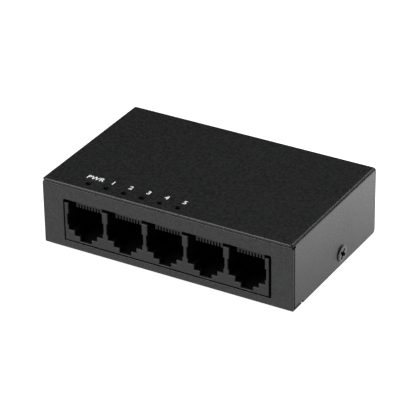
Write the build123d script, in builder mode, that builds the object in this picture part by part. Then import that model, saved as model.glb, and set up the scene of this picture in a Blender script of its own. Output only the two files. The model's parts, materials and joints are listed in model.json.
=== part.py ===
from build123d import *
import math
import os

os.makedirs("parts", exist_ok=True)

# Five-port desktop network switch in a folded steel case.
# Millimetres. +X right and +Z up as seen from the ports, which face -Y.
# The origin is on the table, under the middle of the case, level with the undersides of the feet.

# ---------------------------------------------------------------- driving dimensions
case_w = 86.4  # outside width of the case
case_d = 53.6  # outside depth of the case
case_h = 22.6  # case height without the feet
foot_h = 1.4
sheet = 0.8  # steel sheet of both halves
fit_gap = 0.1  # gap between the two halves of the case
bend_in = 0.2  # inside radius of a folded edge
bend_out = 0.5  # outside radius: the folds of the tray are pressed nearly sharp
edge_r = 0.2  # softened edge of the coated sheet
round_r = 0.38  # fully rounded edge of the coated sheet

port_count = 5
port_pitch = 13.97
proud = 0.35  # how far the jacks stand out of the panels

led_count = 6
led_pitch = 6.256
led_first_x = -28.39

# ---------------------------------------------------------------- levels and planes
case_z = foot_h  # underside of the case
floor_z = case_z + sheet  # top of the floor sheet
top_z = case_z + case_h
roof_z = top_z - sheet  # underside of the top sheet
front_y = -case_d / 2
rear_y = case_d / 2
half_w = case_w / 2

port_xs = [(i - (port_count - 1) / 2) * port_pitch for i in range(port_count)]
led_xs = [led_first_x + i * led_pitch for i in range(led_count)]

# ---------------------------------------------------------------- circuit board levels
boss_h = 1.3  # pressed bosses that carry the board
boss_r = 3.9
dimple_r = 3.3  # the dimple below each boss
boss_draft = 12  # degrees
board_t = 1.2
board_z = floor_z + boss_h
deck_z = board_z + board_t  # the board's upper face
tail_z = board_z - 0.7  # trimmed ends of the soldered tails
board_w = 81.6
board_d = 50.0
board_screw_spots = [(sx * 36.5, y) for sx in (-1, 1) for y in (-7.5, 11.6)]

# ---------------------------------------------------------------- base tray
panel_top = roof_z - 0.3  # free upper edge of the front and rear panels
panel_corner_r = 0.7  # upper corners of the front and rear panels
base_half = half_w - sheet - fit_gap  # half width where the tray sits inside the cover
wide_end = front_y + 5.3  # the floor is full width in front of this line
tab_w = 12.0
tab_h = 8.6
tab_corner_r = 2.0
notch = 0.9  # relief cuts beside the upturned tabs
cutout_w = 71.7
cutout_h = 14.34
cutout_z = case_z + 2.61  # lower edge of the jack cutout
cutout_r = 0.5
screw_y = 4.1
screw_z = case_z + 4.12
thread_r = 1.5
collar_wall = 0.9
dc_x = -30.0
dc_z = deck_z + 6.4
dc_nose_r = 4.0
dc_hole_gap = 0.3
far = 100.0  # longer than the whole case, for cuts that run out of it

with BuildPart() as base_tray:
    with BuildSketch(Plane.YZ) as channel:
        with Locations((0, (case_z + panel_top) / 2)):
            Rectangle(case_d, panel_top - case_z)
        fillet(channel.vertices().group_by(Axis.Y)[0], bend_out)
        with Locations((0, floor_z + far / 2)):
            RectangleRounded(case_d - 2 * sheet, far, bend_in, mode=Mode.SUBTRACT)
    extrude(amount=half_w, both=True)
    # behind the front strip the tray is narrower, so that the cover's sides close over it
    for side in (-1, 1):
        with Locations((side * (base_half + far / 2), wide_end + far / 2, case_h)):
            Box(far, far, far, mode=Mode.SUBTRACT)
    panel_corners = base_tray.edges().filter_by(Axis.Y).filter_by(
        lambda e: abs(e.center().Z - panel_top) < 0.01
    )
    fillet(panel_corners, panel_corner_r)
    # the ends of the floor strip and of the front panel are rounded over on both sides
    end_edges = base_tray.edges().filter_by(
        lambda e: abs(abs(e.center().X) - half_w) < 0.01 and e.center().Y < wide_end - 0.01
        and e.center().Z < panel_top - panel_corner_r
    )
    fillet(end_edges, round_r)
    # upturned tabs that take the cover screws
    for side in (-1, 1):
        with BuildSketch(Plane.XY.offset(case_z)):
            with Locations((side * (base_half - sheet / 2), screw_y)):
                Rectangle(sheet, tab_w)
        extrude(amount=tab_h)
        with BuildSketch(Plane.XY.offset(case_z)):
            for end in (-1, 1):
                with Locations((side * base_half, screw_y + end * (tab_w + notch) / 2)):
                    Rectangle(2 * (sheet + bend_in), notch)
        extrude(amount=sheet, mode=Mode.SUBTRACT)
    tab_folds = base_tray.edges().filter_by(Axis.Y).filter_by(
        lambda e: abs(abs(e.center().X) - base_half) < 0.01
        and abs(e.center().Y - screw_y) < 0.01
        and e.center().Z < floor_z
    )
    fillet(tab_folds, bend_out)
    tab_corners = base_tray.edges().filter_by(Axis.X).filter_by(
        lambda e: abs(e.center().Z - case_z - tab_h) < 0.01
    )
    fillet(tab_corners, tab_corner_r)
    # drawn collars with the tapped holes
    for side in (-1, 1):
        with BuildSketch(Plane.YZ.offset(side * (base_half - sheet))):
            with Locations((screw_y, screw_z)):
                Circle(thread_r + collar_wall)
        extrude(amount=-side * sheet)
        with BuildSketch(Plane.YZ.offset(side * base_half)):
            with Locations((screw_y, screw_z)):
                Circle(thread_r)
        extrude(amount=-side * 2.5 * sheet, mode=Mode.SUBTRACT)
    # pressed bosses under the board, each with its dimple below and its tapped hole
    with BuildSketch(Plane.XY.offset(floor_z)):
        with Locations(*board_screw_spots):
            Circle(boss_r)
    extrude(amount=boss_h, taper=boss_draft)
    with BuildSketch(Plane.XY.offset(case_z)):
        with Locations(*board_screw_spots):
            Circle(dimple_r)
    extrude(amount=boss_h, taper=boss_draft, mode=Mode.SUBTRACT)
    with BuildSketch(Plane.XY.offset(case_z)):
        with Locations(*board_screw_spots):
            Circle(thread_r)
    extrude(amount=2 * boss_h, mode=Mode.SUBTRACT)
    # the cutout for the row of jacks, and the round hole for the power inlet
    with BuildSketch(Plane.XZ.offset(-front_y)):
        with Locations((0, cutout_z + cutout_h / 2)):
            RectangleRounded(cutout_w, cutout_h, cutout_r)
    extrude(amount=-1.5 * sheet, mode=Mode.SUBTRACT)
    with BuildSketch(Plane.XZ.offset(-rear_y)):
        with Locations((dc_x, dc_z)):
            Circle(dc_nose_r + dc_hole_gap)
    extrude(amount=1.5 * sheet, mode=Mode.SUBTRACT)
    cutout_rim = base_tray.faces().sort_by(Axis.Y)[0].edges().filter_by(
        lambda e: abs(e.center().X) < cutout_w / 2 + 0.01 and e.center().Z > cutout_z - 0.01
        and e.center().Z < panel_top - 0.01
    )
    fillet(cutout_rim, edge_r)
base_tray.part.label = "base_tray"
export_step(base_tray.part, "parts/base_tray.step")

# ---------------------------------------------------------------- top cover
cover_bend = 1.0  # outside radius of the cover's two long folds
flange_y = front_y + sheet + 0.3  # front edge of the cover's sides
flange_lift = 0.25  # gap between the cover's sides and the floor strip
flange_drop_y = front_y + 6.4  # behind this line the sides reach the full depth of the case
relief_d = 0.4  # small relief at the upper front corner of each side
relief_h = 0.6
overhang = 0.2  # how far the top sheet stands out over the front panel
lip_y = front_y - overhang
corner_r = 1.2  # rounding of the top sheet's front corners, as seen from above
side_corner_r = 1.3  # lower rear corners of the sides
lip_top_r = 0.5
lip_under_r = 0.2
led_y = front_y + 3.23
led_hole_r = 1.0

with BuildPart() as top_cover:
    with BuildSketch(Plane.XZ.offset(-lip_y)) as hood:
        with Locations((0, case_z + case_h / 2)):
            Rectangle(case_w, case_h)
        fillet(hood.vertices().group_by(Axis.Y)[-1], cover_bend)
        with Locations((0, roof_z - far / 2)):
            RectangleRounded(case_w - 2 * sheet, far, cover_bend - sheet, mode=Mode.SUBTRACT)
    extrude(amount=lip_y - rear_y)
    for side in (-1, 1):
        # the sides stop behind the front panel
        with Locations((side * half_w, flange_y - far / 2, roof_z - far / 2)):
            Box(2 * cover_bend, far, far, mode=Mode.SUBTRACT)
        with Locations((side * half_w, flange_y, roof_z - relief_h / 2)):
            Box(2 * cover_bend, 2 * relief_d, relief_h, mode=Mode.SUBTRACT)
        # and are lifted over the full-width strip of the floor
        with Locations((side * half_w, flange_drop_y - far / 2, floor_z + flange_lift - far / 2)):
            Box(2 * cover_bend, far, far, mode=Mode.SUBTRACT)
    side_corners = top_cover.edges().filter_by(Axis.X).filter_by(
        lambda e: abs(e.center().Y - rear_y) < 0.01 and e.center().Z < floor_z
    )
    fillet(side_corners, side_corner_r)
    for side in (-1, 1):
        with BuildSketch(Plane.YZ.offset(side * half_w)):
            with Locations((screw_y, screw_z)):
                Circle(thread_r + 0.2)
        extrude(amount=-side * 1.5 * sheet, mode=Mode.SUBTRACT)
    with BuildSketch(Plane.XY.offset(top_z)):
        with Locations(*[(x, led_y) for x in led_xs]):
            Circle(led_hole_r)
    extrude(amount=-1.5 * sheet, mode=Mode.SUBTRACT)
    # the top sheet's front corners are rounded off, and its front edge is rolled over
    for side in (-1, 1):
        with BuildSketch(Plane.XY.offset(top_z)):
            with Locations((side * (half_w - corner_r / 2), lip_y + corner_r / 2)):
                Rectangle(corner_r, corner_r)
            with Locations((side * (half_w - corner_r), lip_y + corner_r)):
                Circle(corner_r, mode=Mode.SUBTRACT)
        extrude(amount=-2 * sheet, mode=Mode.SUBTRACT)
    for end, radius in ((-1, lip_top_r), (0, lip_under_r)):
        front_edges = top_cover.edges().filter_by(Axis.X).filter_by(
            lambda e: abs(e.center().Y - lip_y) < 0.001
        )
        fillet(front_edges.sort_by(Axis.Z)[end], radius)
    fillet(top_cover.faces().sort_by(Axis.Y)[-1].edges(), edge_r)
top_cover.part.label = "top_cover"
export_step(top_cover.part, "parts/top_cover.step")


# ---------------------------------------------------------------- screws
def pan_screw(head_r, head_h, shank_r, shank_l, cross):
    """A low pan-head screw: the head sits on z = 0 and the shank goes down."""
    with BuildPart() as screw:
        with BuildSketch(Plane.XZ):
            with BuildLine():
                Line((0, -shank_l), (shank_r - 0.3, -shank_l))
                Line((shank_r - 0.3, -shank_l), (shank_r, 0.3 - shank_l))
                Line((shank_r, 0.3 - shank_l), (shank_r, 0))
                Line((shank_r, 0), (head_r - 0.1, 0))
                Line((head_r - 0.1, 0), (head_r, 0.1))
                Spline(
                    (head_r, 0.1),
                    (head_r - 0.35 * head_h, 0.8 * head_h),
                    (head_r - 1.4 * head_h, head_h),
                    tangents=[(0, 1), (-1, 0)],
                )
                Line((head_r - 1.4 * head_h, head_h), (0, head_h))
                Line((0, head_h), (0, -shank_l))
            make_face()
        revolve(axis=Axis.Z)
        with BuildSketch(Plane.XY.offset(head_h)):
            Rectangle(cross, 0.26 * cross)
            Rectangle(0.26 * cross, cross)
        extrude(amount=-1.0, taper=14, mode=Mode.SUBTRACT)
        with BuildSketch(Plane.XY.offset(head_h)):
            Circle(0.27 * cross)
        extrude(amount=-1.2, taper=10, mode=Mode.SUBTRACT)
    return screw.part


screw_fit = 0.05  # radial play in the tapped holes
cover_screw = pan_screw(2.7, 0.5, thread_r - screw_fit, 4.0, 3.5)
with BuildPart() as cover_screws:
    for side in (-1, 1):
        with Locations(Plane((side * half_w, screw_y, screw_z), (0, 0.59, 0.81), (side, 0, 0))):
            add(cover_screw)
cover_screws.part.label = "cover_screws"
export_step(cover_screws.part, "parts/cover_screws.step")

board_screw = pan_screw(2.7, 1.6, thread_r - screw_fit, board_t + 2.0, 3.0)
with BuildPart() as board_screws:
    with Locations(*[(x, y, deck_z) for x, y in board_screw_spots]):
        add(board_screw)
board_screws.part.label = "board_screws"
export_step(board_screws.part, "parts/board_screws.step")

# ---------------------------------------------------------------- rubber feet
foot_r = 4.0
foot_spots = (33.0, 18.5)

with BuildPart() as rubber_feet:
    with BuildSketch(Plane.XY):
        with GridLocations(2 * foot_spots[0], 2 * foot_spots[1], 2, 2):
            Circle(foot_r)
    extrude(amount=foot_h)
    fillet(rubber_feet.edges().group_by(Axis.Z)[0], 0.4)
rubber_feet.part.label = "rubber_feet"
export_step(rubber_feet.part, "parts/rubber_feet.step")

# ---------------------------------------------------------------- five-port jack housing
jack_face_y = front_y - proud
jack_depth = 16.0
jack_back_y = jack_face_y + jack_depth
jack_w = (port_count - 1) * port_pitch + 14.52
jack_h = 12.64
jack_top_z = deck_z + jack_h
jack_back_wall = 1.2
# half widths of a port opening, from the top down
half_top = 6.045
half_mid = 6.49
half_low = 6.105
half_latch = 4.0
half_key = 2.06
# levels of a port opening, above the board
key_z = deck_z + 0.35
latch_z = deck_z + 1.85
plug_z = deck_z + 3.53
low_z = deck_z + 5.1
mid_z = deck_z + 5.5
shoulder_z = deck_z + 9.05
comb_z = deck_z + 10.7  # lower edge of the contact inserts
groove_z = comb_z + 0.9
groove_h = 0.7
latch_wall = 1.9  # the plug's latch hooks behind this much of the front
latch_catch_half = 3.3
insert_y = jack_face_y + 2.5
peg_r = 1.5
peg_x = 1.5 * port_pitch
peg_y = -18.0

with BuildSketch() as port_opening:
    with BuildLine():
        half = Polyline(
            (0, key_z),
            (half_key, key_z),
            (half_key, latch_z),
            (half_latch, latch_z),
            (half_latch, plug_z),
            (half_low, plug_z),
            (half_low, low_z),
            (half_mid, mid_z),
            (half_mid, shoulder_z),
            (half_top, shoulder_z),
            (half_top, jack_top_z + 1),
            (0, jack_top_z + 1),
        )
        mirror(half, about=Plane.YZ)
    make_face()

with BuildPart() as jack_housing:
    with BuildSketch(Plane.XY.offset(deck_z)):
        with Locations((0, jack_face_y + jack_depth / 2)):
            Rectangle(jack_w, jack_depth)
    extrude(amount=jack_h)
    with BuildSketch(Plane.XZ.offset(-jack_face_y)):
        with Locations(*[(x, 0) for x in port_xs]):
            add(port_opening.sketch)
    extrude(amount=-(jack_depth - jack_back_wall), mode=Mode.SUBTRACT)
    # over the back wall the openings run right through, for the contact inserts
    with BuildSketch(Plane.XZ.offset(-jack_face_y)):
        with Locations(*[(x, comb_z + jack_h / 2 - 0.05) for x in port_xs]):
            Rectangle(2 * half_top, jack_h)
    extrude(amount=-(jack_depth + 1), mode=Mode.SUBTRACT)
    # grooves that the inserts slide along, from the back
    with BuildSketch(Plane.XZ.offset(-jack_back_y)):
        with Locations(*[(x, groove_z + groove_h / 2) for x in port_xs]):
            Rectangle(2 * half_top + 0.7, groove_h)
    extrude(amount=jack_back_y - insert_y - 0.4, mode=Mode.SUBTRACT)
    # the latch catch: behind the front wall the keyway is wider
    with BuildSketch(Plane.XZ.offset(-(jack_face_y + latch_wall))):
        with Locations(*[(x, (key_z + plug_z) / 2) for x in port_xs]):
            Rectangle(2 * latch_catch_half, plug_z - key_z)
    extrude(amount=-9.0, mode=Mode.SUBTRACT)
    face_edges = jack_housing.faces().sort_by(Axis.Y)[0].edges()
    chamfer(face_edges, 0.12)
    # pegs that locate the moulding in the board
    with BuildSketch(Plane.XY.offset(deck_z)):
        with Locations((-peg_x, peg_y), (peg_x, peg_y)):
            Circle(peg_r)
    extrude(amount=-board_t - 0.3)
    chamfer(jack_housing.edges().group_by(Axis.Z)[0], 0.3)
jack_housing.part.label = "jack_housing"
export_step(jack_housing.part, "parts/jack_housing.step")

# ---------------------------------------------------------------- contact inserts, one for each port
contact_count = 8
contact_pitch = 1.015
tooth_w = 0.45
slot_w = contact_pitch - tooth_w
slot_top_z = comb_z + 2.1
insert_top_z = comb_z + 2.8
insert_half = half_top - 0.08
comb_half = 4.55  # the comb's front is narrower than the opening
comb_nose = 4.0
bar_z = comb_z + 1.2  # a thin bar closes the slots in front, above this level
bar_t = 0.5
contact_offsets = [(k - (contact_count - 1) / 2) * contact_pitch for k in range(contact_count)]

for number, port_x in enumerate(port_xs, start=1):
    with BuildPart() as contact_insert:
        with BuildSketch(Plane.XZ.offset(-insert_y)):
            with Locations((port_x, (comb_z + insert_top_z) / 2)):
                Rectangle(2 * insert_half, insert_top_z - comb_z)
            with Locations((port_x, groove_z + groove_h / 2)):
                Rectangle(2 * insert_half + 0.7, groove_h - 0.1)
            with Locations(*[(port_x + dx, (comb_z + slot_top_z) / 2) for dx in contact_offsets]):
                Rectangle(slot_w, slot_top_z - comb_z, mode=Mode.SUBTRACT)
        extrude(amount=insert_y - jack_back_y)
        with BuildSketch(Plane.XZ.offset(-insert_y)):
            with Locations((port_x, (bar_z + slot_top_z) / 2)):
                Rectangle(2 * comb_half, slot_top_z - bar_z)
        extrude(amount=-bar_t)
        for side in (-1, 1):
            with Locations((port_x + side * (comb_half + jack_h / 2), insert_y, comb_z)):
                Box(jack_h, 2 * comb_nose, jack_h, mode=Mode.SUBTRACT)
    contact_insert.part.label = f"contact_insert_{number}"
    export_step(contact_insert.part, f"parts/contact_insert_{number}.step")

# ---------------------------------------------------------------- contact wires and their sprung arms
wire_w = 0.4
wire_t = 0.3
run_z = slot_top_z - 0.45  # the wires run forward along the slots at this height
curl_r = 0.3
curl_y = insert_y + 1.1
curl_z = run_z - curl_r  # each wire curls down about this line, and the arm swings about it
tail_rows = (jack_back_y + 0.55, jack_back_y + 2.55)
arm_angle = 24.0
arm_length = 9.4
arm_tip = 0.9

for number, port_x in enumerate(port_xs, start=1):
    with BuildPart() as contact_wires:
        for k, dx in enumerate(contact_offsets):
            tail_y = tail_rows[k % 2]
            with BuildSketch(Plane.YZ.offset(port_x + dx - wire_w / 2)):
                with BuildLine():
                    Line((tail_y, tail_z), (tail_y, run_z - 0.5))
                    RadiusArc((tail_y, run_z - 0.5), (tail_y - 0.5, run_z), -0.5)
                    Line((tail_y - 0.5, run_z), (curl_y, run_z))
                    ThreePointArc((curl_y, run_z), (curl_y - curl_r, curl_z), (curl_y, curl_z - curl_r))
                trace(line_width=wire_t)
            extrude(amount=wire_w)
    contact_wires.part.label = f"contact_wires_{number}"
    export_step(contact_wires.part, f"parts/contact_wires_{number}.step")

arm_dir = Vector(math.cos(math.radians(arm_angle)), -math.sin(math.radians(arm_angle)))
arm_start = Vector(curl_y + 0.11, curl_z - curl_r - 0.05)
arm_end = arm_start + arm_dir * arm_length
for number, port_x in enumerate(port_xs, start=1):
    with BuildPart() as contact_springs:
        for dx in contact_offsets:
            with BuildSketch(Plane.YZ.offset(port_x + dx - wire_w / 2)):
                with BuildLine():
                    Line(arm_start, arm_end)
                    Line(arm_end, arm_end + Vector(arm_tip, 0))
                trace(line_width=wire_t)
            extrude(amount=wire_w)
    contact_springs.part.label = f"contact_springs_{number}"
    export_step(contact_springs.part, f"parts/contact_springs_{number}.step")

# ---------------------------------------------------------------- light guide
guide_w = 1.8
guide_t = 1.6
guide_z = insert_top_z + 0.3  # underside of the arms that reach over the jacks
guide_leg_y = -6.6
guide_tip_z = roof_z - 1.2
led_h = 0.7
bar_y = tail_rows[0] + 0.5
post_xs = (led_xs[0] - 4.8, led_xs[-1] + 3.7)
post_peg_r = 0.6
leg_front = guide_leg_y - guide_t / 2
leg_back = guide_leg_y + guide_t / 2
tip_half = 0.9

with BuildPart() as light_guide:
    for x in led_xs:
        with BuildSketch(Plane.YZ.offset(x - guide_w / 2)):
            with BuildLine():
                Polyline(
                    (leg_back, deck_z + led_h + 0.35),
                    (leg_front, deck_z + led_h + 0.35),
                    (leg_front, guide_z),
                    (led_y, guide_z),
                    (led_y - tip_half, guide_z + tip_half),
                    (led_y - tip_half, guide_tip_z),
                    (led_y + tip_half, guide_tip_z),
                    (led_y + tip_half, guide_z + guide_t),
                    (leg_front, guide_z + guide_t),
                    (leg_back, guide_z),
                    close=True,
                )
            make_face()
        extrude(amount=guide_w)
    with BuildSketch(Plane.XY.offset(guide_z)):
        with Locations(((post_xs[0] + post_xs[1]) / 2, bar_y)):
            Rectangle(post_xs[1] - post_xs[0] + guide_w, guide_t)
    extrude(amount=guide_t)
    with BuildSketch(Plane.XY.offset(deck_z)):
        with Locations(*[(x, bar_y) for x in post_xs]):
            Rectangle(guide_w, guide_t)
    extrude(amount=guide_z - deck_z)
    with BuildSketch(Plane.XY.offset(deck_z)):
        with Locations(*[(x, bar_y) for x in post_xs]):
            Circle(post_peg_r)
    extrude(amount=-board_t)
light_guide.part.label = "light_guide"
export_step(light_guide.part, "parts/light_guide.step")

with BuildPart() as indicator_leds:
    with BuildSketch(Plane.XY.offset(deck_z)):
        with Locations(*[(x, guide_leg_y) for x in led_xs]):
            Rectangle(1.6, 0.8)
    extrude(amount=0.3)
    with BuildSketch(Plane.XY.offset(deck_z + 0.3)):
        with Locations(*[(x, guide_leg_y) for x in led_xs]):
            Rectangle(1.0, 0.8)
    extrude(amount=led_h - 0.3, taper=5)
indicator_leds.part.label = "indicator_leds"
export_step(indicator_leds.part, "parts/indicator_leds.step")

# ---------------------------------------------------------------- power inlet
dc_w = 9.0
dc_h = 11.0
dc_block_y = rear_y - sheet - 0.15  # the block stands just inside the rear panel
dc_block_back = 13.9
dc_face_y = rear_y + proud
dc_bore_r = 3.0
dc_bore_end = dc_face_y - 10.0
dc_pin_r = 1.0
dc_shank_r = 0.8  # the pin is thinner where it passes through the moulding
dc_blade_t = 0.6
spring_t = 0.3
spring_y = dc_bore_end + 0.45  # the leaf spring bends about this line
spring_z = dc_z - dc_bore_r - 1.2
channel_z = spring_z - 0.7  # floor of the channel that the spring lies in
blade_slot_y = dc_bore_end - 0.55

with BuildPart() as dc_jack_housing:
    with BuildSketch(Plane.XY.offset(deck_z)):
        with Locations((dc_x, (dc_block_y + dc_block_back) / 2)):
            Rectangle(dc_w, dc_block_y - dc_block_back)
    extrude(amount=dc_h)
    chamfer(dc_jack_housing.edges().filter_by(Axis.Y).group_by(Axis.Z)[-1], 0.6)
    with BuildSketch(Plane.XZ.offset(-dc_block_y)):
        with Locations((dc_x, dc_z)):
            Circle(dc_nose_r)
    extrude(amount=-(dc_face_y - dc_block_y))
    with BuildSketch(Plane.XZ.offset(-dc_face_y)):
        with Locations((dc_x, dc_z)):
            Circle(dc_bore_r)
    extrude(amount=dc_face_y - dc_bore_end, mode=Mode.SUBTRACT)
    chamfer(dc_jack_housing.faces().sort_by(Axis.Y)[-1].edges(), 0.25)
    # hole for the centre pin, and the channel and slot for the side spring and its blade
    with BuildSketch(Plane.XZ.offset(-dc_bore_end - 1)):
        with Locations((dc_x, dc_z)):
            Circle(dc_shank_r + 0.05)
    extrude(amount=dc_bore_end - dc_block_back + 2, mode=Mode.SUBTRACT)
    with Locations((dc_x, dc_bore_end - 0.8, channel_z)):
        Box(
            2.0,
            8.0,
            dc_z - dc_bore_r + 0.3 - channel_z,
            align=(Align.CENTER, Align.MIN, Align.MIN),
            mode=Mode.SUBTRACT,
        )
    with Locations((dc_x, blade_slot_y, deck_z - 1)):
        Box(
            1.8,
            dc_blade_t + 0.1,
            channel_z - deck_z + 2,
            align=(Align.CENTER, Align.CENTER, Align.MIN),
            mode=Mode.SUBTRACT,
        )
dc_jack_housing.part.label = "dc_jack_housing"
export_step(dc_jack_housing.part, "parts/dc_jack_housing.step")

with BuildPart() as dc_jack_pin:
    with BuildSketch(Plane.XZ.offset(-dc_face_y + 0.8)):
        with Locations((dc_x, dc_z)):
            Circle(dc_pin_r)
    extrude(amount=dc_face_y - 0.8 - dc_bore_end - 0.1)
    fillet(dc_jack_pin.edges().group_by(Axis.Y)[-1], 0.5)
    with BuildSketch(Plane.XZ.offset(-dc_bore_end - 0.1)):
        with Locations((dc_x, dc_z)):
            Circle(dc_shank_r)
    extrude(amount=dc_bore_end - dc_block_back + 0.2)
    with Locations((dc_x, dc_block_back - 0.1, tail_z)):
        Box(2.2, dc_blade_t, dc_z + 1.6 - tail_z, align=(Align.CENTER, Align.MAX, Align.MIN))
dc_jack_pin.part.label = "dc_jack_pin"
export_step(dc_jack_pin.part, "parts/dc_jack_pin.step")

with BuildPart() as dc_jack_blade:
    with Locations((dc_x, blade_slot_y, tail_z)):
        Box(
            1.6,
            dc_blade_t,
            spring_z + spring_t / 2 - tail_z,
            align=(Align.CENTER, Align.CENTER, Align.MIN),
        )
dc_jack_blade.part.label = "dc_jack_blade"
export_step(dc_jack_blade.part, "parts/dc_jack_blade.step")

with BuildPart() as dc_jack_spring:
    with BuildSketch(Plane.YZ.offset(dc_x - 0.75)):
        with BuildLine():
            Polyline(
                (spring_y - 0.6, spring_z),
                (spring_y, spring_z),
                (spring_y + 3.4, spring_z + 1.35),
                (spring_y + 4.4, spring_z + 1.35),
                (spring_y + 5.7, spring_z + 0.55),
            )
        trace(line_width=spring_t)
    extrude(amount=1.5)
dc_jack_spring.part.label = "dc_jack_spring"
export_step(dc_jack_spring.part, "parts/dc_jack_spring.step")

# ---------------------------------------------------------------- circuit board
with BuildPart() as circuit_board:
    with BuildSketch(Plane.XY.offset(board_z)):
        RectangleRounded(board_w, board_d, 1.0)
        with Locations((-board_w / 2, screw_y), (board_w / 2, screw_y)):
            Rectangle(4.0, 6.4, mode=Mode.SUBTRACT)
        with Locations(*board_screw_spots):
            Circle(thread_r + 0.2, mode=Mode.SUBTRACT)
        with Locations((-peg_x, peg_y), (peg_x, peg_y)):
            Circle(peg_r + 0.1, mode=Mode.SUBTRACT)
        with Locations(*[(x, bar_y) for x in post_xs]):
            Circle(post_peg_r + 0.1, mode=Mode.SUBTRACT)
        for port_x in port_xs:
            with Locations(*[(port_x + dx, tail_rows[k % 2]) for k, dx in enumerate(contact_offsets)]):
                Circle(0.4, mode=Mode.SUBTRACT)
        with Locations((dc_x, dc_block_back - 0.1 - dc_blade_t / 2), (dc_x, blade_slot_y)):
            SlotOverall(3.0, dc_blade_t + 0.4, mode=Mode.SUBTRACT)
    extrude(amount=board_t)
circuit_board.part.label = "circuit_board"
export_step(circuit_board.part, "parts/circuit_board.step")


# ---------------------------------------------------------------- parts soldered to the board
def gull_lead(height, reach, width, thick):
    """One gull-wing lead: it leaves the body at the origin towards +Y and lands on the board."""
    with BuildPart() as lead:
        with BuildSketch(Plane.YZ.offset(-width / 2)):
            with BuildLine():
                Polyline(
                    (0, height),
                    (0.35 * reach, height),
                    (0.55 * reach, thick / 2),
                    (reach, thick / 2),
                )
            trace(line_width=thick)
        extrude(amount=width)
    return lead.part


transformer_w = 12.7
transformer_d = 7.1
transformer_h = 5.6
transformer_y = -0.55
lead_gap = 0.02  # the leads meet the moulded bodies with this much air

with BuildPart() as network_transformers:
    with BuildSketch(Plane.XY.offset(deck_z + 0.25)):
        with Locations(*[(x, transformer_y) for x in port_xs]):
            Rectangle(transformer_w, transformer_d)
    extrude(amount=transformer_h)
    chamfer(network_transformers.edges().group_by(Axis.Z)[-1], 0.3)
network_transformers.part.label = "network_transformers"
export_step(network_transformers.part, "parts/network_transformers.step")

transformer_lead = gull_lead(1.2, 1.2, 0.5, 0.25)
transformer_lead_pitch = 1.5
with BuildPart() as transformer_leads:
    for port_x in port_xs:
        for turn in (0, 180):
            with Locations(Location((port_x, transformer_y, deck_z), (0, 0, turn))):
                with Locations((0, transformer_d / 2 + lead_gap, 0)):
                    with GridLocations(transformer_lead_pitch, 1, 8, 1):
                        add(transformer_lead)
transformer_leads.part.label = "transformer_leads"
export_step(transformer_leads.part, "parts/transformer_leads.step")

chip_side = 14.0
chip_spot = (2.0, 13.5)

with BuildPart() as switch_chip:
    with BuildSketch(Plane.XY.offset(deck_z + 0.1)):
        with Locations(chip_spot):
            Rectangle(chip_side, chip_side)
    extrude(amount=1.4)
    chamfer(switch_chip.edges().group_by(Axis.Z)[-1], 0.2)
    with BuildSketch(Plane.XY.offset(deck_z + 1.5)):
        with Locations((chip_spot[0] - 0.4 * chip_side, chip_spot[1] - 0.4 * chip_side)):
            Circle(0.6)
    extrude(amount=-0.1, mode=Mode.SUBTRACT)
switch_chip.part.label = "switch_chip"
export_step(switch_chip.part, "parts/switch_chip.step")

chip_lead = gull_lead(0.75, 1.0, 0.32, 0.15)
chip_lead_pitch = 0.8
chip_leads_a_side = 16
with BuildPart() as switch_chip_leads:
    for turn in range(0, 360, 90):
        with Locations(Location((chip_spot[0], chip_spot[1], deck_z), (0, 0, turn))):
            with Locations((0, chip_side / 2 + lead_gap, 0)):
                with GridLocations(chip_lead_pitch, 1, chip_leads_a_side, 1):
                    add(chip_lead)
switch_chip_leads.part.label = "switch_chip_leads"
export_step(switch_chip_leads.part, "parts/switch_chip_leads.step")

regulator_spots = [(-20.5, 8.0), (20.0, 19.5)]
regulator_w = 4.9
regulator_d = 3.9
regulator_pitch = 1.27
with BuildPart() as regulator_chips:
    with BuildSketch(Plane.XY.offset(deck_z + 0.15)):
        with Locations(*regulator_spots):
            Rectangle(regulator_w, regulator_d)
    extrude(amount=1.45)
    chamfer(regulator_chips.edges().group_by(Axis.Z)[-1], 0.25)
regulator_chips.part.label = "regulator_chips"
export_step(regulator_chips.part, "parts/regulator_chips.step")

regulator_lead = gull_lead(0.75, 1.05, 0.42, 0.2)
with BuildPart() as regulator_leads:
    for x, y in regulator_spots:
        for turn in (0, 180):
            with Locations(Location((x, y, deck_z), (0, 0, turn))):
                with Locations((0, regulator_d / 2 + lead_gap, 0)):
                    with GridLocations(regulator_pitch, 1, 4, 1):
                        add(regulator_lead)
regulator_leads.part.label = "regulator_leads"
export_step(regulator_leads.part, "parts/regulator_leads.step")

inductor_spots = [(-30.0, 8.4), (29.5, 18.5)]
inductor_side = 7.0
inductor_h = 4.0
groove_r = 2.9  # the ring groove round an inductor's core
groove_w = 0.4
with BuildPart() as power_inductors:
    with BuildSketch(Plane.XY.offset(deck_z)):
        with Locations(*inductor_spots):
            RectangleRounded(inductor_side, inductor_side, 1.2)
    extrude(amount=inductor_h)
    with BuildSketch(Plane.XY.offset(deck_z + inductor_h)):
        with Locations(*inductor_spots):
            Circle(groove_r)
            Circle(groove_r - groove_w, mode=Mode.SUBTRACT)
    extrude(amount=-groove_w, mode=Mode.SUBTRACT)
power_inductors.part.label = "power_inductors"
export_step(power_inductors.part, "parts/power_inductors.step")

capacitor_spots = [(-15.0, 17.5), (-22.0, 20.0), (13.5, 20.5)]
capacitor_r = 3.15
capacitor_base = 6.6
with BuildPart() as capacitor_bases:
    with BuildSketch(Plane.XY.offset(deck_z)):
        with Locations(*capacitor_spots):
            RectangleRounded(capacitor_base, capacitor_base, 0.5)
    extrude(amount=1.0)
capacitor_bases.part.label = "capacitor_bases"
export_step(capacitor_bases.part, "parts/capacitor_bases.step")

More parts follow.
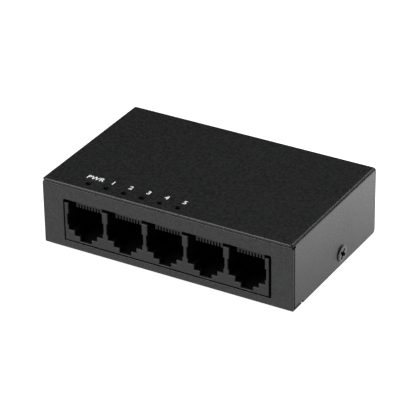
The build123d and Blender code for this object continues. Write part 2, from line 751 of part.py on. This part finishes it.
with BuildPart() as capacitor_cans:
    with BuildSketch(Plane.XY.offset(deck_z + 1.05)):
        with Locations(*capacitor_spots):
            Circle(capacitor_r)
    extrude(amount=6.6)
    fillet(capacitor_cans.edges().group_by(Axis.Z)[-1], 0.4)
capacitor_cans.part.label = "capacitor_cans"
export_step(capacitor_cans.part, "parts/capacitor_cans.step")

crystal_spot = (20.0, 10.0)
crystal_w = 10.2
crystal_d = 3.8
crystal_rim = 0.4
with BuildPart() as crystal_can:
    with BuildSketch(Plane.XY.offset(deck_z + 0.1)):
        with Locations(crystal_spot):
            SlotOverall(crystal_w + 2 * crystal_rim, crystal_d + 2 * crystal_rim)
    extrude(amount=crystal_rim)
    with BuildSketch(Plane.XY.offset(deck_z + 0.1 + crystal_rim)):
        with Locations(crystal_spot):
            SlotOverall(crystal_w, crystal_d)
    extrude(amount=3.0)
    fillet(crystal_can.edges().group_by(Axis.Z)[-1], 0.4)
crystal_can.part.label = "crystal_can"
export_step(crystal_can.part, "parts/crystal_can.step")

chip_row_y = 7.0
chip_w = 1.6
chip_d = 0.8
chip_step = 1.8  # spacing of the small chips in a column
with BuildPart() as chip_resistors:
    with BuildSketch(Plane.XY.offset(deck_z)):
        with Locations((31.0, 8.0)):
            with GridLocations(3.0, chip_step, 2, 4):
                Rectangle(chip_w, chip_d)
        with Locations((-12.5, chip_row_y + 2.0)):
            with GridLocations(2.6, chip_step, 2, 3):
                Rectangle(chip_w, chip_d)
    extrude(amount=0.45)
chip_resistors.part.label = "chip_resistors"
export_step(chip_resistors.part, "parts/chip_resistors.step")

with BuildPart() as chip_capacitors:
    with BuildSketch(Plane.XY.offset(deck_z)):
        with Locations((26.9, 8.0)):
            with GridLocations(2.0, chip_step, 1, 4):
                Rectangle(chip_w, chip_d)
        with Locations((-7.5, chip_row_y - 1.0), (12.5, chip_row_y), (12.5, chip_row_y + 2.2)):
            Rectangle(chip_w, chip_d)
    extrude(amount=chip_d)
chip_capacitors.part.label = "chip_capacitors"
export_step(chip_capacitors.part, "parts/chip_capacitors.step")
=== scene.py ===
import json
import math

import bpy
from mathutils import Matrix, Vector


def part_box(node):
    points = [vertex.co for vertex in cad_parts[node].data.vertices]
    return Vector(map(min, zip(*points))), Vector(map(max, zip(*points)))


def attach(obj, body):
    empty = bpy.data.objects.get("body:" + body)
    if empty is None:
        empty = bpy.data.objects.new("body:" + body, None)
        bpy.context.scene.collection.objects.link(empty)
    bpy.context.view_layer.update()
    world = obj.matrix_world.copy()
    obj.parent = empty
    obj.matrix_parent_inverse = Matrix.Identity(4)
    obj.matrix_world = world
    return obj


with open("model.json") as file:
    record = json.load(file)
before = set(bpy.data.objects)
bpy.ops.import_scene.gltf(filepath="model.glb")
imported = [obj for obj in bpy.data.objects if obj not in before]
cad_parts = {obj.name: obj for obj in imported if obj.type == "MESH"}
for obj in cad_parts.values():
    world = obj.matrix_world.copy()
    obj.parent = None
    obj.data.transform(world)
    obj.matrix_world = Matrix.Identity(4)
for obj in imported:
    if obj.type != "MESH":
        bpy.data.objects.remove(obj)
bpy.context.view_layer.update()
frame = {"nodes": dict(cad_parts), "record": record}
NODES = frame["nodes"]
MM = 0.001

# places on the case, read from the frame
COVER_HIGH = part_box("top_cover")[1]
TRAY_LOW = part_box("base_tray")[0]
JACK_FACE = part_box("jack_housing")[0][1]
LEDS_LOW, LEDS_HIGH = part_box("indicator_leds")
CASE_SIDE = COVER_HIGH[0]
CASE_TOP = COVER_HIGH[2]
CASE_FRONT = TRAY_LOW[1]
CASE_FLOOR = TRAY_LOW[2]
CASE_HEIGHT = CASE_TOP - CASE_FLOOR


def deselect():
    """Operators act on whatever is selected, so each new piece starts from nothing."""
    bpy.ops.object.select_all(action="DESELECT")


# ---------------------------------------------------------------- material building blocks
NOISE_LOW = 0.3  # nearly all of a noise lies between these two
NOISE_HIGH = 0.7
BROAD_GRAIN = 12.5  # how much coarser a material's clouds of colour are than its grain


def new_material(name, **constants):
    """A Principled material; the constants are set on the shader's own sockets."""
    material = bpy.data.materials.new(name)
    material.use_nodes = True
    shader = material.node_tree.nodes["Principled BSDF"]
    for socket, value in constants.items():
        shader.inputs[socket.replace("_", " ")].default_value = value
    return material, material.node_tree, shader


def add_node(tree, kind, **settings):
    """A node of that kind; a setting is a property of the node, or else one of its sockets."""
    node = tree.nodes.new(kind)
    for name, value in settings.items():
        if hasattr(node, name):
            setattr(node, name, value)
        else:
            node.inputs[name.replace("_", " ")].default_value = value
    return node


def object_place(tree):
    """The place on the piece, in metres."""
    return add_node(tree, "ShaderNodeTexCoord").outputs["Object"]


def noise(tree, place, grain, detail=3.0, roughness=0.55):
    """A cloudy pattern of that grain, in metres."""
    node = add_node(tree, "ShaderNodeTexNoise", Scale=1 / grain, Detail=detail, Roughness=roughness)
    tree.links.new(place, node.inputs["Vector"])
    return node.outputs["Fac"]


def blend_colours(tree, factor, low, high, start=NOISE_LOW, end=NOISE_HIGH):
    """The low colour up to start, the high one from end on, and a blend between them."""
    ramp = add_node(tree, "ShaderNodeValToRGB")
    ramp.color_ramp.elements[0].position = start
    ramp.color_ramp.elements[0].color = (*low, 1)
    ramp.color_ramp.elements[1].position = end
    ramp.color_ramp.elements[1].color = (*high, 1)
    tree.links.new(factor, ramp.inputs["Fac"])
    return ramp.outputs["Color"]


def stretch(tree, value, low, high, to_low, to_high):
    """The value's range from low to high, laid over to_low to to_high and held at its ends."""
    node = add_node(tree, "ShaderNodeMapRange")
    for socket, limit in (("From Min", low), ("From Max", high), ("To Min", to_low), ("To Max", to_high)):
        node.inputs[socket].default_value = limit
    tree.links.new(value, node.inputs["Value"])
    return node.outputs["Result"]


def spread(tree, factor, low, high):
    """A noise, spread over low to high."""
    return stretch(tree, factor, NOISE_LOW, NOISE_HIGH, low, high)


def maths(tree, operation, *values):
    """One sum; a value is a number or another node's output."""
    node = add_node(tree, "ShaderNodeMath", operation=operation)
    for socket, value in zip(node.inputs, values):
        if isinstance(value, float):
            socket.default_value = value
        else:
            tree.links.new(value, socket)
    return node.outputs["Value"]


def split_axes(tree, place):
    """The outputs X, Y and Z of a place."""
    node = add_node(tree, "ShaderNodeSeparateXYZ")
    tree.links.new(place, node.inputs["Vector"])
    return node.outputs


def add_bump(tree, shader, height, distance):
    """Relief of that depth, in metres."""
    node = add_node(tree, "ShaderNodeBump", Strength=1.0, Distance=distance)
    tree.links.new(height, node.inputs["Height"])
    tree.links.new(node.outputs["Normal"], shader.inputs["Normal"])


def grained(name, low, high, grain, relief, rough, **constants):
    """A material with colour, gloss and relief that vary over a fine grain, in metres."""
    material, tree, shader = new_material(name, **constants)
    place = object_place(tree)
    fine = noise(tree, place, grain)
    broad = noise(tree, place, BROAD_GRAIN * grain, detail=2.0)
    tree.links.new(blend_colours(tree, broad, low, high), shader.inputs["Base Color"])
    tree.links.new(spread(tree, fine, *rough), shader.inputs["Roughness"])
    add_bump(tree, shader, fine, relief)
    return material


# ---------------------------------------------------------------- finishes
COAT_DARK = (0.0020, 0.0021, 0.0023)
COAT_PALE = (0.0150, 0.0154, 0.0160)
COAT_PEEL = 0.5 * MM  # grain of the orange peel
COAT_SPECKLE = 0.9 * MM
COAT_PATCH = 28 * MM  # size of the patches of more and less gloss
COAT_RELIEF = 0.055 * MM
SPECKLE_SHARE = 0.8  # how much the speckle adds to the relief of the peel
PAINTED_SHADE_DEPTH = 0.4 * MM  # the moulded face keeps its sheen this far in; beyond it, painted shade fades the cavities' gloss away over as far again
FACE_SHEEN = 0.5
# painted shade: the gloss left deep in the cavities
CAVITY_PAINTED_SHADE_GLOSS = 0.02
MASK_TRACKS = 420.0  # rows of tracks and pads in a metre
MASK_PALE = (0.020, 0.120, 0.050)
MASK_DARK = (0.006, 0.050, 0.022)


def powder_coat():
    """Charcoal powder coat: a fine orange peel, and a sparse speckle of paler and darker grains."""
    material, tree, shader = new_material("charcoal_powder_coat", IOR=1.5, Specular_IOR_Level=0.36)
    place = object_place(tree)
    peel = noise(tree, place, COAT_PEEL, detail=3.0, roughness=0.6)
    speckle = noise(tree, place, COAT_SPECKLE, detail=4.0, roughness=0.7)
    patches = noise(tree, place, COAT_PATCH, detail=2.0)
    colour = blend_colours(tree, speckle, COAT_DARK, COAT_PALE, start=0.35, end=0.65)
    tree.links.new(colour, shader.inputs["Base Color"])
    tree.links.new(spread(tree, patches, 0.38, 0.42), shader.inputs["Roughness"])
    relief = maths(tree, "MULTIPLY_ADD", speckle, SPECKLE_SHARE, peel)
    add_bump(tree, shader, relief, COAT_RELIEF)
    return material


def jack_plastic():
    return grained(
        "black_jack_moulding",
        (0.0014, 0.0014, 0.0015),
        (0.0028, 0.0028, 0.0030),
        grain=0.35 * MM,
        relief=0.006 * MM,
        rough=(0.56, 0.66),
        IOR=1.5,
    )


def jack_plastic_with_painted_cavity_shade():
    """The jacks' black moulding: satin on its face, with painted shade inside the cavities, where the gloss
    fades away with depth.
    """
    material = jack_plastic()
    material.name = "black_jack_moulding_painted_cavity_shade"
    tree = material.node_tree
    depth = split_axes(tree, object_place(tree))["Y"]
    painted_shade_start = JACK_FACE + PAINTED_SHADE_DEPTH
    # painted shade: the gloss falls from the face's sheen to almost none, deeper into the cavities
    painted_cavity_shade = stretch(tree, depth, painted_shade_start, painted_shade_start + PAINTED_SHADE_DEPTH, FACE_SHEEN, CAVITY_PAINTED_SHADE_GLOSS)
    tree.links.new(painted_cavity_shade, tree.nodes["Principled BSDF"].inputs["Specular IOR Level"])
    return material


def gold():
    return grained(
        "gold_flashed_bronze",
        (0.78, 0.55, 0.22),
        (0.88, 0.66, 0.30),
        grain=0.2 * MM,
        relief=0.002 * MM,
        rough=(0.18, 0.34),
        Metallic=1.0,
    )


def tinned():
    return grained(
        "tinned_alloy",
        (0.58, 0.58, 0.57),
        (0.70, 0.70, 0.68),
        grain=0.3 * MM,
        relief=0.004 * MM,
        rough=(0.25, 0.45),
        Metallic=1.0,
    )


def nickel():
    return grained(
        "nickel_plate",
        (0.66, 0.64, 0.60),
        (0.74, 0.72, 0.68),
        grain=0.25 * MM,
        relief=0.002 * MM,
        rough=(0.12, 0.24),
        Metallic=1.0,
    )


def zinc():
    return grained(
        "zinc_plate",
        (0.50, 0.51, 0.52),
        (0.63, 0.63, 0.62),
        grain=0.4 * MM,
        relief=0.005 * MM,
        rough=(0.28, 0.46),
        Metallic=1.0,
    )


def black_zinc():
    return grained(
        "black_zinc_screw",
        (0.020, 0.020, 0.022),
        (0.042, 0.041, 0.042),
        grain=0.3 * MM,
        relief=0.008 * MM,
        rough=(0.24, 0.42),
        Metallic=0.55,
        IOR=1.5,
    )


def rubber():
    return grained(
        "black_rubber",
        (0.010, 0.010, 0.010),
        (0.018, 0.018, 0.018),
        grain=0.5 * MM,
        relief=0.02 * MM,
        rough=(0.7, 0.85),
        IOR=1.5,
    )


def chip_epoxy():
    return grained(
        "black_chip_epoxy",
        (0.012, 0.012, 0.013),
        (0.022, 0.022, 0.023),
        grain=0.25 * MM,
        relief=0.01 * MM,
        rough=(0.5, 0.68),
        IOR=1.5,
    )


def ferrite():
    return grained(
        "grey_ferrite",
        (0.055, 0.055, 0.058),
        (0.10, 0.10, 0.105),
        grain=0.35 * MM,
        relief=0.02 * MM,
        rough=(0.45, 0.65),
        IOR=1.6,
    )


def can_aluminium():
    return grained(
        "satin_can",
        (0.62, 0.63, 0.64),
        (0.72, 0.73, 0.74),
        grain=0.3 * MM,
        relief=0.003 * MM,
        rough=(0.26, 0.4),
        Metallic=1.0,
    )


def tan_ceramic():
    return grained(
        "tan_ceramic",
        (0.30, 0.20, 0.11),
        (0.42, 0.29, 0.17),
        grain=0.2 * MM,
        relief=0.004 * MM,
        rough=(0.4, 0.6),
        IOR=1.5,
    )


def led_lens():
    return grained(
        "milky_led_lens",
        (0.62, 0.62, 0.50),
        (0.74, 0.74, 0.62),
        grain=0.2 * MM,
        relief=0.002 * MM,
        rough=(0.2, 0.35),
        IOR=1.5,
    )


def clear_acrylic():
    return grained(
        "clear_acrylic",
        (0.55, 0.57, 0.58),
        (0.66, 0.68, 0.69),
        grain=1.5 * MM,
        relief=0.004 * MM,
        rough=(0.06, 0.16),
        Transmission_Weight=0.92,
        IOR=1.49,
    )


def solder_mask():
    """Green solder mask; copper tracks show through it as paler lines and small pads."""
    material, tree, shader = new_material("green_solder_mask", IOR=1.5, Coat_Weight=0.4)
    place = object_place(tree)
    bricks = add_node(tree, "ShaderNodeTexBrick", Scale=MASK_TRACKS, Mortar_Size=0.03, offset=0.37)
    bricks.inputs["Color1"].default_value = (0, 0, 0, 1)
    bricks.inputs["Color2"].default_value = (0.2, 0.2, 0.2, 1)
    bricks.inputs["Mortar"].default_value = (1, 1, 1, 1)
    tree.links.new(place, bricks.inputs["Vector"])
    colour = blend_colours(tree, bricks.outputs["Color"], MASK_DARK, MASK_PALE)
    gloss = noise(tree, place, 0.6 * MM)
    tree.links.new(colour, shader.inputs["Base Color"])
    tree.links.new(spread(tree, gloss, 0.28, 0.42), shader.inputs["Roughness"])
    add_bump(tree, shader, bricks.outputs["Color"], 0.02 * MM)
    return material


def print_white():
    return grained(
        "white_screen_print",
        (0.62, 0.63, 0.63),
        (0.78, 0.78, 0.77),
        grain=0.15 * MM,
        relief=0.004 * MM,
        rough=(0.5, 0.65),
        IOR=1.5,
    )


SLOT_FINISHES = {
    "coated_steel": powder_coat,
    "black_screw": black_zinc,
    "plated_screw": zinc,
    "jack_plastic": jack_plastic,
    "gold_contact": gold,
    "tinned": tinned,
    "nickel": nickel,
    "board_laminate": solder_mask,
    "clear_plastic": clear_acrylic,
    "led_lens": led_lens,
    "chip_epoxy": chip_epoxy,
    "ferrite": ferrite,
    "can_aluminium": can_aluminium,
    "base_plastic": jack_plastic,
    "chip_ceramic": tan_ceramic,
    "foot_rubber": rubber,
}
# the jack housing's cavities carry painted shade
NODE_FINISHES = {"jack_housing": jack_plastic_with_painted_cavity_shade}


def finish_nodes():
    """Every node takes the finish of its material slot, unless it has one of its own."""
    made = {}
    for subpart in frame["record"]["subparts"]:
        finish = NODE_FINISHES.get(subpart["node"], SLOT_FINISHES[subpart["material_slot"]])
        if finish not in made:
            made[finish] = finish()
        data = NODES[subpart["node"]].data
        data.materials.clear()
        data.materials.append(made[finish])


finish_nodes()

# ---------------------------------------------------------------- printed labels
LABELS = ["PWR", "1", "2", "3", "4", "5"]
CAP_HEIGHT = 1.95 * MM
CAP_SHARE = 0.73  # height of a capital, as a share of the type size
LETTER_SPACING = 1.06
STROKE_GROWTH = 0.06 * MM  # the ink spreads by this much
LABEL_Y = CASE_FRONT + 6.9 * MM
LABEL_SHIFT = 0.2 * MM  # the print sits this far right of the holes
PRINT_THICKNESS = 0.01 * MM
LED_WIDTH = 1.6 * MM
LED_PITCH = (LEDS_HIGH[0] - LEDS_LOW[0] - LED_WIDTH) / (len(LABELS) - 1)
FIRST_LED_X = LEDS_LOW[0] + LED_WIDTH / 2


def printed_label(text, x, material):
    """One word in screen-printed ink, behind its indicator hole and centred on it."""
    deselect()
    bpy.ops.object.text_add(location=(0, 0, 0))
    label = bpy.context.object
    label.data.body = text
    label.data.align_x = "CENTER"
    label.data.align_y = "CENTER"
    label.data.size = CAP_HEIGHT / CAP_SHARE
    label.data.space_character = LETTER_SPACING
    label.data.offset = STROKE_GROWTH
    label.data.resolution_u = 6
    bpy.ops.object.convert(target="MESH")
    label = bpy.context.object
    label.name = f"label_{text.lower()}"
    label.data.transform(Matrix.Translation((x, LABEL_Y, CASE_TOP + PRINT_THICKNESS)))
    label.data.materials.clear()
    label.data.materials.append(material)
    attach(label, "case")


INK = print_white()
for number, word in enumerate(LABELS):
    printed_label(word, FIRST_LED_X + LABEL_SHIFT + number * LED_PITCH, INK)

# ---------------------------------------------------------------- floor, lights and camera
FLOOR_SIZE = 6.0
FLOOR_CLOUDS = 1 / 9
FLOOR_GRAIN = 1 / 300
FLOOR_DARK = (0.24, 0.24, 0.24)
FLOOR_PALE = (0.26, 0.26, 0.26)
GLOW_WAY = {"X": 0.8, "Y": 0.6}  # the floor is a light table, brighter this way, to the right rear
GLOW_START = 0.015  # where the glow starts to grow, along that way, and where it stops
GLOW_END = 0.13
GLOW_NEAR = 0.98
GLOW_FAR = 2.75
PAINTED_SHADOW_HALF = {"X": CASE_SIDE - 2.2 * MM, "Y": -CASE_FRONT - 3.2 * MM}  # painted shadow: the dark patch under the case, where the glow is taken away
PAINTED_SHADOW_EDGE = 1.0 * MM  # the painted shadow's soft edge


def floor_glow(tree, place):
    """The table's own light: it grows towards the right rear, and a painted shadow takes it away under the
    case.
    """
    axes = split_axes(tree, place)
    along = maths(tree, "ADD", *(maths(tree, "MULTIPLY", axes[axis], way) for axis, way in GLOW_WAY.items()))
    glow = stretch(tree, along, GLOW_START, GLOW_END, GLOW_NEAR, GLOW_FAR)
    outside_painted_shadow = []
    # painted shadow: the glow is set to nothing under the case
    for axis, half in PAINTED_SHADOW_HALF.items():
        distance = maths(tree, "ABSOLUTE", axes[axis])
        outside_painted_shadow.append(stretch(tree, distance, half - PAINTED_SHADOW_EDGE, half, 0.0, 1.0))
    return maths(tree, "MULTIPLY", glow, maths(tree, "MAXIMUM", *outside_painted_shadow))


def light_table():
    """The pale floor under the part."""
    material, tree, shader = new_material("white_light_table")
    place = object_place(tree)
    colour = blend_colours(tree, noise(tree, place, FLOOR_CLOUDS), FLOOR_DARK, FLOOR_PALE)
    gloss = spread(tree, noise(tree, place, FLOOR_GRAIN), 0.85, 0.95)
    tree.links.new(colour, shader.inputs["Base Color"])
    tree.links.new(gloss, shader.inputs["Roughness"])
    shader.inputs["Emission Color"].default_value = (1, 1, 1, 1)
    tree.links.new(floor_glow(tree, place), shader.inputs["Emission Strength"])
    deselect()
    bpy.ops.mesh.primitive_plane_add(size=FLOOR_SIZE, location=(0, 0, 0))
    floor = bpy.context.object
    floor.name = "floor"
    floor.data.materials.append(material)


def soft_light(name, direction, distance, size, radiance):
    """A square softbox that faces the middle of the case from that direction."""
    data = bpy.data.lights.new(name, "AREA")
    data.shape = "SQUARE"
    data.size = size
    data.energy = radiance * math.pi * size * size
    light = bpy.data.objects.new(name, data)
    bpy.context.scene.collection.objects.link(light)
    away = Vector(direction).normalized()
    place = Vector((0, 0, CASE_HEIGHT / 2)) + away * distance
    light.matrix_world = Matrix.Translation(place) @ away.to_track_quat("Z", "Y").to_matrix().to_4x4()


CAMERA_AZIMUTH = math.radians(30.21)
CAMERA_ELEVATION = math.radians(29.52)
CAMERA_ROLL = math.radians(-0.796)
CAMERA_DISTANCE = 739.3 * MM
CAMERA_SLIDE = 0.04 * MM  # to the camera's right, and up
CAMERA_LIFT = -1.64 * MM
CAMERA_LENS = 207.2  # millimetres, as the sensor's width is
SENSOR_WIDTH = 36.0
WORLD_GREY = (0.07, 0.07, 0.072, 1)


def place_camera():
    """A long lens from the front right and above, turned a little about its own axis."""
    back = Vector(
        (
            math.sin(CAMERA_AZIMUTH) * math.cos(CAMERA_ELEVATION),
            -math.cos(CAMERA_AZIMUTH) * math.cos(CAMERA_ELEVATION),
            math.sin(CAMERA_ELEVATION),
        )
    )
    right = (-back).cross(Vector((0, 0, 1))).normalized()
    up = back.cross(right)
    turned_right = right * math.cos(CAMERA_ROLL) + up * math.sin(CAMERA_ROLL)
    turned_up = up * math.cos(CAMERA_ROLL) - right * math.sin(CAMERA_ROLL)
    middle = Vector((0, 0, CASE_FLOOR + CASE_HEIGHT / 2))
    place = middle + back * CAMERA_DISTANCE + turned_right * CAMERA_SLIDE + turned_up * CAMERA_LIFT
    data = bpy.data.cameras.new("camera")
    data.lens = CAMERA_LENS
    data.sensor_width = SENSOR_WIDTH
    data.clip_start = 0.01
    data.clip_end = 20.0
    camera = bpy.data.objects.new("camera", data)
    bpy.context.scene.collection.objects.link(camera)
    camera.matrix_world = Matrix(
        (
            (turned_right.x, turned_up.x, back.x, place.x),
            (turned_right.y, turned_up.y, back.y, place.y),
            (turned_right.z, turned_up.z, back.z, place.z),
            (0, 0, 0, 1),
        )
    )
    bpy.context.scene.camera = camera


def light_studio():
    """A dim grey room, a softbox over the front edge and a smaller one behind."""
    world = bpy.data.worlds.new("studio")
    world.use_nodes = True
    world.node_tree.nodes["Background"].inputs["Color"].default_value = WORLD_GREY
    bpy.context.scene.world = world
    bpy.context.scene.view_settings.view_transform = "Standard"
    soft_light("lip_softbox", (-0.437, -0.52, 0.73), distance=0.9, size=0.66, radiance=9.0)
    soft_light("rear_softbox", (0.14, 0.73, 0.67), distance=1.0, size=0.24, radiance=12.0)


light_table()
place_camera()
light_studio()
